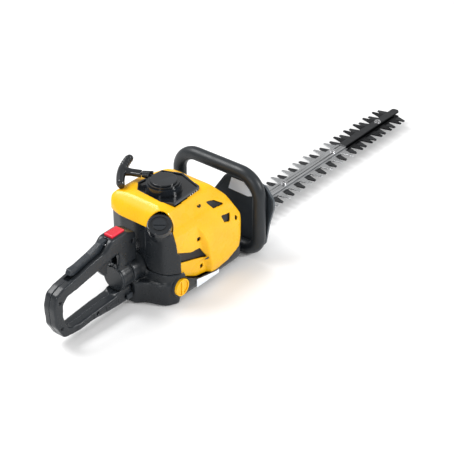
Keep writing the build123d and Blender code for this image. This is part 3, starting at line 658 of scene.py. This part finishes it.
# ---- rear handle ---------------------------------------------------------------------
HANDLE = [(-106.5, 14), (-150, 15), (-201, 19), (-240, 15), (-268, 19), (-284, 48), (-286, 84), (-279, 106),
          (-262, 114), (-226, 121), (-200, 128), (-168, 134), (-148, 150), (-112, 151), (-90, 142),
          (-90, 88), (-106.5, 84)]
GRIP_HOLE = [(-258, 36), (-266, 60), (-265, 84), (-254, 95), (-232, 97), (-206, 102), (-182, 106),
             (-150, 116), (-131, 116), (-130, 90), (-140, 84), (-140, 37), (-180, 35), (-225, 31), (-248, 30)]
LEVER_SLOT = [(-146, 170), (-147, 136), (-185, 118), (-230, 111.5), (-244, 115), (-244, 170)]
HANDLE_SCREWS = [(-272, 92), (-272, 40), (-190, 27), (-121, 26), (-100, 128)]
DRUM = (-131, 0, DECK)
FRONT_BLOCK = [(-90, 88), (-90, 141), (-112, 151), (-148, 150), (-162, 136), (-158, 112), (-128, 108),
               (-120, 86)]
RAIL = [(-106.5, 14), (-150, 15), (-201, 19), (-238, 17), (-238, 28), (-180, 35), (-137, 38), (-106.5, 40)]


def make_rear_handle():
    """Both halves, from one softened body split down the middle."""
    body = prism(HANDLE, "y", -13.5, 13.5, 9)
    add(body, prism(FRONT_BLOCK, "y", -16, 16, 6), prism(RAIL, "y", -16, 16, 5))
    cut(body, prism(GRIP_HOLE, "y", -50, 50, 6))
    add(body, rod(DRUM, (1, 0, 0), BOSS_R, 24.7))
    soften(body, 1.5, 26)
    add(body, rod(DRUM, (1, 0, 0), BOSS_R - 0.3, 24.4))
    cut(body, rod((BOSS_X - 0.3, 0, DECK), (1, 0, 0), BOSS_R + 0.4, 30),
        rod((-150, 0, DECK), (1, 0, 0), 25, 19))
    cut(body, prism(LEVER_SLOT, "y", -5.8, 5.8))
    cut(body, block(-186, -117, -6.2, 6.2, 90, 130))
    cut(body, block(-141.8, -111.2, -9.4, 9.4, 144.5, 170), rod((-131.5, 0, DECK), (1, 0, 0), 9.05, 60))
    for x in (-150, -180, -210):
        groove = prism([(x + 11, 20.5), (x - 13, 22.5), (x - 13, 29), (x + 11, 31)], "y", -20, -14.2, 2)
        cut(body, groove)
    for x, z in HANDLE_SCREWS:
        cut(body, rod((x, -9 if z < 120 else -11, z), (0, -1, 0), 3.4, 20))
    for name, node, low, high in (("handle_left_shell", "handle_left", 0.15, 60),
                                  ("handle_right_shell", "handle_right", -60, -0.15)):
        half = keep(duplicate(body, name), block(-300, -80, low, high, -10, 200))
        soften(half, 0.9, 3)
        finish_piece(half, name, "rear_handle", "black", "black", node)
    drop(body)


# ---- trigger, starter grip and rope ---------------------------------------------------
TRIGGER = [(-124, 124), (-134, 126), (-174, 114), (-181, 107), (-170, 95), (-159, 81), (-154, 83),
           (-151, 97), (-140, 111), (-127, 113)]
GRIP_BAR = Vector((0.855, 0.463, 0.233)).normalized()
GRIP_MID = Vector((-21.5, 74, 195))
PULL = Vector((-0.49, 0.87, 0.07)).normalized()
GRIP_HALF, GRIP_BOW, GRIP_R = 36, 6, 9.6
TRIGGER_PIN = (-130, -10, 119)
ROPE_LENGTH, ROPE_R = 46.0, 1.75


def make_trigger():
    blade = prism(TRIGGER, "y", -4.9, 4.9, 3)
    cut(blade, rod(TRIGGER_PIN, (0, 1, 0), 2.6, 20))
    soften(blade, 0.8, 3)
    return finish_piece(blade, "trigger_blade", "trigger", "black", "black", "throttle_trigger")


def make_grip():
    """Bow-shaped starter grip with a tapered neck and a ribbed upper half."""
    across = GRIP_BAR.cross(PULL).normalized()
    spans = 24
    centres, widths = [], []
    for k in range(spans + 1):
        t = k / spans * 2 - 1
        groove = 0.92 if k % 2 and t >= 0.12 else 1
        taper = 0.8 if k in (0, spans) else 1
        centres.append(GRIP_MID + GRIP_BAR * (GRIP_HALF * t) - PULL * (GRIP_BOW * t * t - 2))
        widths.append((GRIP_R - 0.6 * t * t) * groove * taper)

    def point(centre, k, angle):
        return centre + across * (widths[k] * math.cos(angle)) + PULL * (0.86 * widths[k] * math.sin(angle))

    grip = loft(centres, point, 32, "grip")
    neck = lathe([(0, 0), (10, 0), (8, 7), (6.8, 16), (7, 34.5), (0, 34.5)], GRIP_MID + PULL * 2, -PULL, 40)
    add(grip, neck)
    cut(grip, rod(GRIP_MID - PULL * 40, PULL, 2.3, 30))
    soften(grip, 0.6, 2)
    return finish_piece(grip, "grip_shell", "grip", "gloss_black", "black", "starter_grip")


def make_rope():
    """Starter rope: a straight cord from inside the guide out towards the grip."""
    start = GRIP_MID - PULL * 50
    side = PULL.cross(Vector((0, 0, 1))).normalized()
    up = side.cross(PULL)
    spans = 30
    centres = [start + PULL * (ROPE_LENGTH * k / spans) for k in range(spans + 1)]
    rope = loft(centres, lambda c, k, a: c + (side * math.cos(a) + up * math.sin(a)) * ROPE_R, 16, "rope")
    rope.name = "starter_rope_line"
    for polygon in rope.data.polygons:
        polygon.use_smooth = True
    dress(rope, "rope")
    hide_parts("starter_rope")
    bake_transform(rope)


# ---- the whole scene -------------------------------------------------------------------
make_camera()
make_light()
make_floor()
dress_nodes()
for blade in ("upper_cutter", "lower_cutter", "guide_bar", "tip_cover"):
    grind_edges(NODES[blade])
make_top_cover()
make_side_cover()
make_shade_liner()
make_tank()
make_lower_housing()
make_rear_housing()
make_filter_cover()
make_front_shield()
make_rear_handle()
make_trigger()
make_grip()
make_rope()
for tool in (MASTER, BLOCKED, CORE, BLOCKED_CORE):
    drop(tool)
